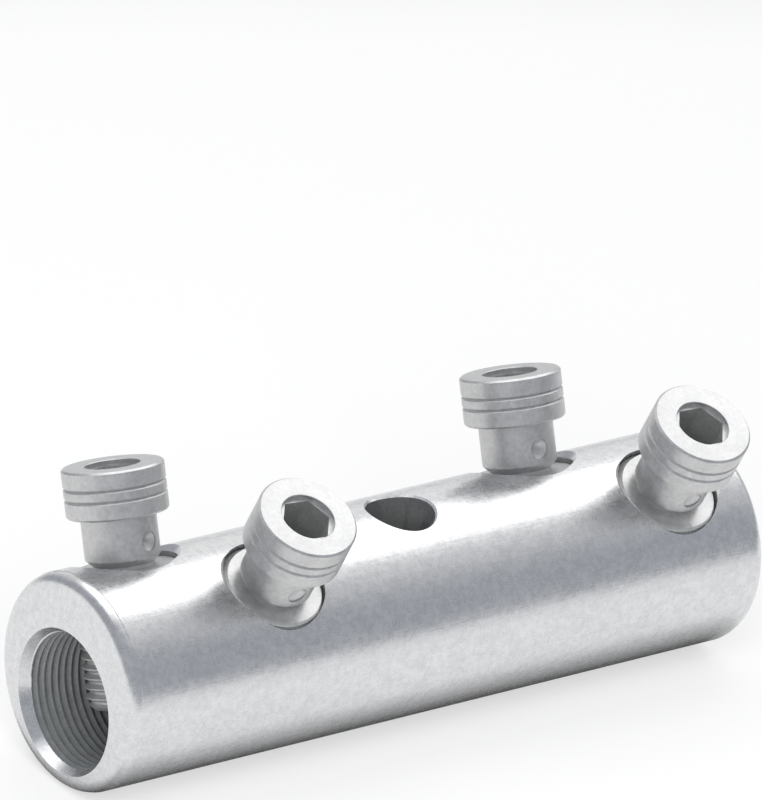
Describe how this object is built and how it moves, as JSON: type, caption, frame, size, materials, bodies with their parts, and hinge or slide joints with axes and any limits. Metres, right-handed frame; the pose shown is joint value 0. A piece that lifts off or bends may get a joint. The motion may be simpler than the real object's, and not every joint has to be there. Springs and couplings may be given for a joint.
{
  "type": "screw connector",
  "caption": "Tinned round sleeve with an eccentric through bore for two power conductors, clamped by shear-head screws in two rows, with a sight hole at mid length.",
  "frame": {"origin": "on the axis of the conductor bore, at mid length of the sleeve", "axes": "+X along the bore towards the right-hand end, +Z out through the sight hole, half way between the two rows of screws, -Y towards the front row"},
  "size_m": [0.12, 0.0396, 0.0474],
  "materials": {
    "tinned_sleeve": "tin-plated, tumbled satin",
    "screw_metal": "tin-plated, fine turned"
  },
  "bodies": {
    "sleeve": {"sleeve": "tinned_sleeve"},
    "screw_left_back": {"screw_left_back": "screw_metal"},
    "screw_left_front": {"screw_left_front": "screw_metal"},
    "screw_right_back": {"screw_right_back": "screw_metal"},
    "screw_right_front": {"screw_right_front": "screw_metal"}
  },
  "joints": [
    {"name": "left_back_travel", "type": "slide", "parent": "sleeve", "child": "screw_left_back", "axis": [0, 0.3827, 0.9239], "range_m": [-0.0045, 0.0135]},
    {"name": "left_front_travel", "type": "slide", "parent": "sleeve", "child": "screw_left_front", "axis": [0, -0.3827, 0.9239], "range_m": [-0.0045, 0.0135]},
    {"name": "right_back_travel", "type": "slide", "parent": "sleeve", "child": "screw_right_back", "axis": [0, 0.3827, 0.9239], "range_m": [-0.0045, 0.0135]},
    {"name": "right_front_travel", "type": "slide", "parent": "sleeve", "child": "screw_right_front", "axis": [0, -0.3827, 0.9239], "range_m": [-0.0045, 0.0135]}
  ]
}
